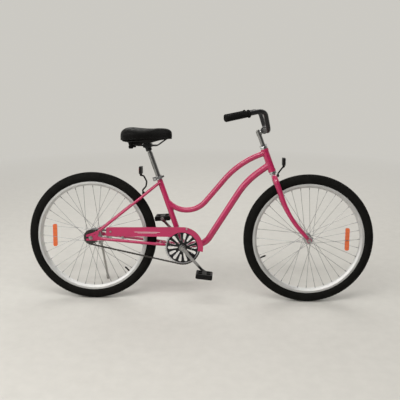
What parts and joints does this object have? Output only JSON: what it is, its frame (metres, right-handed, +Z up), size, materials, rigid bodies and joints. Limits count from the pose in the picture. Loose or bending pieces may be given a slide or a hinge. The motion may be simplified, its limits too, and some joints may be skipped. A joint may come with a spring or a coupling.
{
  "type": "beach cruiser bicycle",
  "caption": "Beach cruiser bicycle with low curved frame tubes, upswept handlebar, coaster hub, chain guard, padded saddle, reflectors and side stand, leaning on its stand.",
  "frame": {"origin": "on the ground, under the middle of the bicycle's box, standing on its side stand", "axes": "+X forward, +Y to the rider's left (the side it leans to), +Z up"},
  "size_m": [1.785, 0.668, 1.0168],
  "materials": {
    "pink_paint": "glossy paint",
    "black_paint": "glossy black",
    "tyre_rubber": "matt rubber",
    "rubber": "matt",
    "rim_alloy": "satin",
    "steel": "bright zinc",
    "chrome": "polished",
    "chain_steel": "oiled",
    "amber_lens": "clear moulded",
    "black_plastic": "moulded",
    "saddle_vinyl": "grained"
  },
  "bodies": {
    "frame": {"head_tube": "pink_paint", "top_tube": "pink_paint", "down_tube": "pink_paint", "seat_tube": "pink_paint", "bottom_bracket_shell": "pink_paint", "chain_stays": "pink_paint", "seat_stays": "pink_paint", "rear_dropouts": "pink_paint", "headset_cups": "chrome", "bottom_bracket_cups": "steel", "chain_guard": "pink_paint", "chain_guard_fixings": "steel", "chain": "chain_steel", "rear_axle": "steel", "brake_arm": "steel", "rear_reflector": "black_plastic", "rear_reflector_bracket": "black_plastic", "kickstand_bracket": "black_paint", "seat_clamp": "chrome"},
    "seat": {"seat_post": "chrome", "saddle_clamp": "steel", "saddle_rails": "steel", "saddle_base": "black_plastic", "saddle_cover": "saddle_vinyl", "saddle_bumpers": "rubber"},
    "seat_lever": {"seat_clamp_lever": "chrome"},
    "stand": {"kickstand": "steel"},
    "fork": {"fork_steerer": "steel", "fork_blades": "pink_paint", "headset_races": "chrome", "stem": "chrome", "stem_expander": "chrome", "handlebar": "black_paint", "left_grip": "rubber", "right_grip": "rubber", "front_axle": "steel", "front_reflector": "black_plastic", "front_reflector_bracket": "black_plastic"},
    "front_wheel": {"front_tyre": "tyre_rubber", "front_inner_tube": "rubber", "front_rim": "rim_alloy", "front_spokes": "steel", "front_hub": "steel", "front_wheel_reflector": "amber_lens"},
    "rear_wheel": {"rear_tyre": "tyre_rubber", "rear_inner_tube": "rubber", "rear_rim": "rim_alloy", "rear_spokes": "steel", "rear_hub": "steel", "rear_wheel_reflector": "amber_lens"},
    "sprocket": {"rear_sprocket": "chain_steel"},
    "crankset": {"crank_spindle": "steel", "crank_bolts": "chrome", "right_crank_arm": "chrome", "left_crank_arm": "chrome", "chainring": "chain_steel", "chainring_disc": "black_paint", "pedal_spindles": "steel"},
    "right_pedal": {"right_pedal": "black_plastic"},
    "left_pedal": {"left_pedal": "black_plastic"}
  },
  "joints": [
    {"name": "steering", "type": "hinge", "parent": "frame", "child": "fork", "pos_m": [0.37099, -0.03669, 0.66298], "axis": [-0.3502, 0.1223, 0.9287], "range_deg": [-75, 75]},
    {"name": "front_wheel_spin", "type": "hinge", "parent": "fork", "child": "front_wheel", "pos_m": [0.559, -0.08042, 0.33087], "axis": [0, 0.9914, -0.1305], "continuous": true},
    {"name": "rear_wheel_spin", "type": "hinge", "parent": "frame", "child": "rear_wheel", "pos_m": [-0.559, -0.08042, 0.33087], "axis": [0, 0.9914, -0.1305], "continuous": true},
    {"name": "crank_spin", "type": "hinge", "parent": "frame", "child": "crankset", "pos_m": [-0.08786, -0.08636, 0.28576], "axis": [0, 0.9914, -0.1305], "continuous": true, "deforming": ["chain"]},
    {"name": "sprocket_spin", "type": "hinge", "parent": "frame", "child": "sprocket", "pos_m": [-0.559, -0.08042, 0.33087], "axis": [0, 0.9914, -0.1305], "continuous": true, "deforming": ["chain"]},
    {"name": "right_pedal_spin", "type": "hinge", "parent": "crankset", "child": "right_pedal", "pos_m": [0.02743, -0.179, 0.17195], "axis": [0, 0.9914, -0.1305], "continuous": true},
    {"name": "left_pedal_spin", "type": "hinge", "parent": "crankset", "child": "left_pedal", "pos_m": [-0.20315, 0.00629, 0.39958], "axis": [0, 0.9914, -0.1305], "continuous": true},
    {"name": "stand_fold", "type": "hinge", "parent": "frame", "child": "stand", "pos_m": [-0.533, -0.01305, 0.27561], "axis": [0, 0.9239, 0.3827], "range_deg": [0, 100]},
    {"name": "seat_height", "type": "slide", "parent": "frame", "child": "seat", "axis": [-0.3338, 0.123, 0.9346], "range_m": [-0.075, 0.05]},
    {"name": "seat_lever_cam", "type": "hinge", "parent": "frame", "child": "seat_lever", "pos_m": [-0.23647, -0.05593, 0.631], "axis": [0.3338, -0.123, -0.9346], "range_deg": [0, 140]}
  ],
  "couplings": [
    {"joint": "sprocket_spin", "follows": "crank_spin", "ratio": 2.4444}
  ]
}
